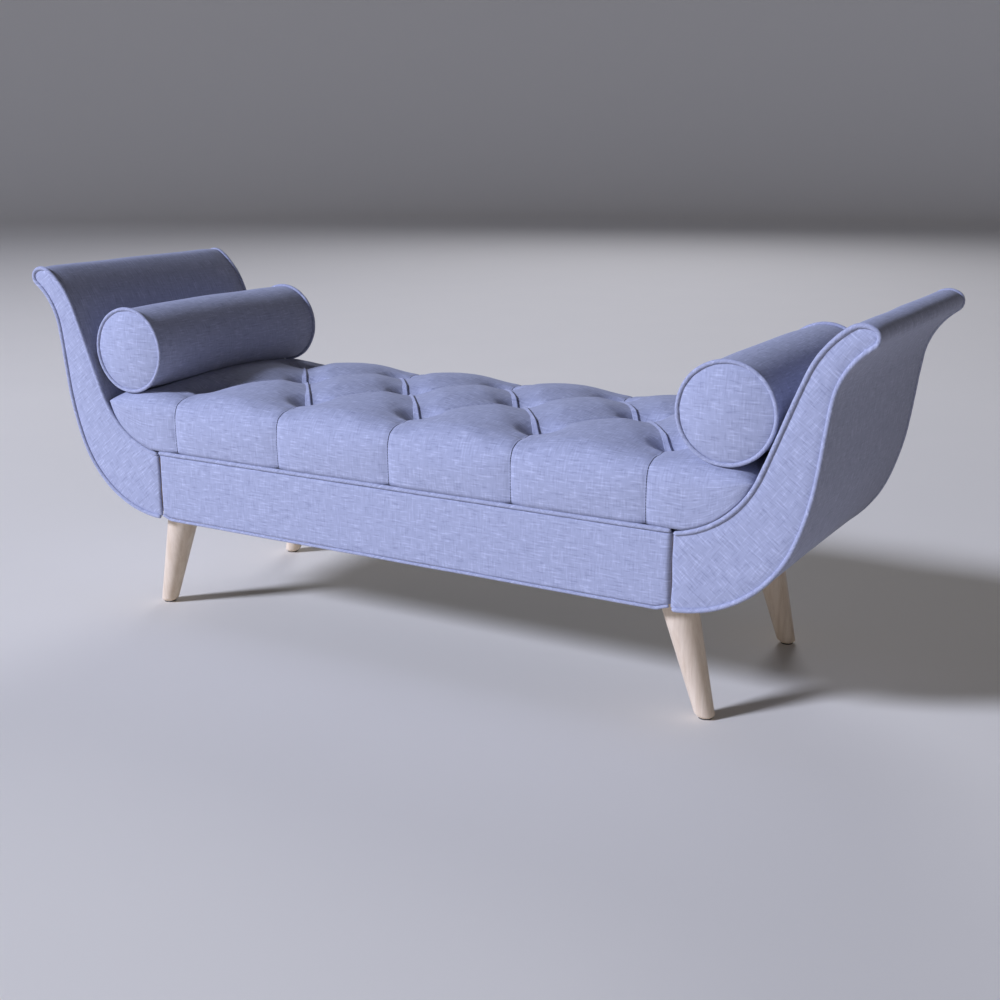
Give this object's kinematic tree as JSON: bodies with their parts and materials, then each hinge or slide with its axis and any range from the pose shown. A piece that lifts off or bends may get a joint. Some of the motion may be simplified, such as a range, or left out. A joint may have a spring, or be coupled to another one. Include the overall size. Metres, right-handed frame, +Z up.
{
  "type": "scroll-arm tufted bench",
  "caption": "Backless upholstered bench with a diamond-tufted seat, outward scrolled arms with piped facings, loose round bolsters and splayed tapered wooden legs.",
  "frame": {"origin": "on the floor under the middle of the bench", "axes": "+Z up, +X along the length of the seat to the right arm, -Y towards the front"},
  "size_m": [1.6932, 0.516, 0.67],
  "materials": {
    "linen": "light grey slubbed linen weave over foam",
    "fibre_fill": "bonded fibre filling",
    "felt": "needled felt",
    "dust_cloth": "thin black cloth",
    "twine": "waxed twine",
    "pale_beech": "clear satin varnish",
    "softwood": "sawn",
    "plywood": "sanded",
    "zinc_steel": "zinc plated",
    "glide_plastic": "moulded"
  },
  "bodies": {
    "bench": {"arm_battens_left": "softwood", "arm_battens_right": "softwood", "arm_front_facing_left": "linen", "arm_front_facing_right": "linen", "arm_front_panel_left": "plywood", "arm_front_panel_right": "plywood", "arm_front_welt_left": "linen", "arm_front_welt_right": "linen", "arm_inner_liner_left": "plywood", "arm_inner_liner_right": "plywood", "arm_inner_pad_left": "linen", "arm_inner_pad_right": "linen", "arm_outer_liner_left": "plywood", "arm_outer_liner_right": "plywood", "arm_outer_pad_left": "linen", "arm_outer_pad_right": "linen", "arm_rear_facing_left": "linen", "arm_rear_facing_right": "linen", "arm_rear_panel_left": "plywood", "arm_rear_panel_right": "plywood", "arm_rear_welt_left": "linen", "arm_rear_welt_right": "linen", "arm_screws": "zinc_steel", "cross_rails": "softwood", "dust_cover": "dust_cloth", "end_rail_left": "softwood", "end_rail_right": "softwood", "front_apron": "linen", "front_apron_hem": "linen", "front_apron_welt": "linen", "front_rail": "softwood", "leg_blocks": "softwood", "leg_front_left": "pale_beech", "leg_front_right": "pale_beech", "leg_glides": "glide_plastic", "leg_hanger_bolts": "zinc_steel", "leg_plate_screws": "zinc_steel", "leg_plates": "zinc_steel", "leg_rear_left": "pale_beech", "leg_rear_right": "pale_beech", "rear_apron": "linen", "rear_apron_hem": "linen", "rear_apron_welt": "linen", "rear_rail": "softwood", "seat_base_pad": "felt", "seat_cushion": "linen", "seat_deck": "plywood", "tuft_twines": "twine", "tuft_washers": "zinc_steel"},
    "bolster_left": {"bolster_left_core": "fibre_fill", "bolster_left_front_end": "linen", "bolster_left_rear_end": "linen", "bolster_left_sleeve": "linen", "bolster_left_welts": "linen"},
    "bolster_right": {"bolster_right_core": "fibre_fill", "bolster_right_front_end": "linen", "bolster_right_rear_end": "linen", "bolster_right_sleeve": "linen", "bolster_right_welts": "linen"}
  },
  "joints": [
    {"name": "bolster_left_lift", "type": "slide", "parent": "bench", "child": "bolster_left", "axis": [0, 0, 1], "range_m": [0, 0.3]},
    {"name": "bolster_right_lift", "type": "slide", "parent": "bench", "child": "bolster_right", "axis": [0, 0, 1], "range_m": [0, 0.3]}
  ]
}
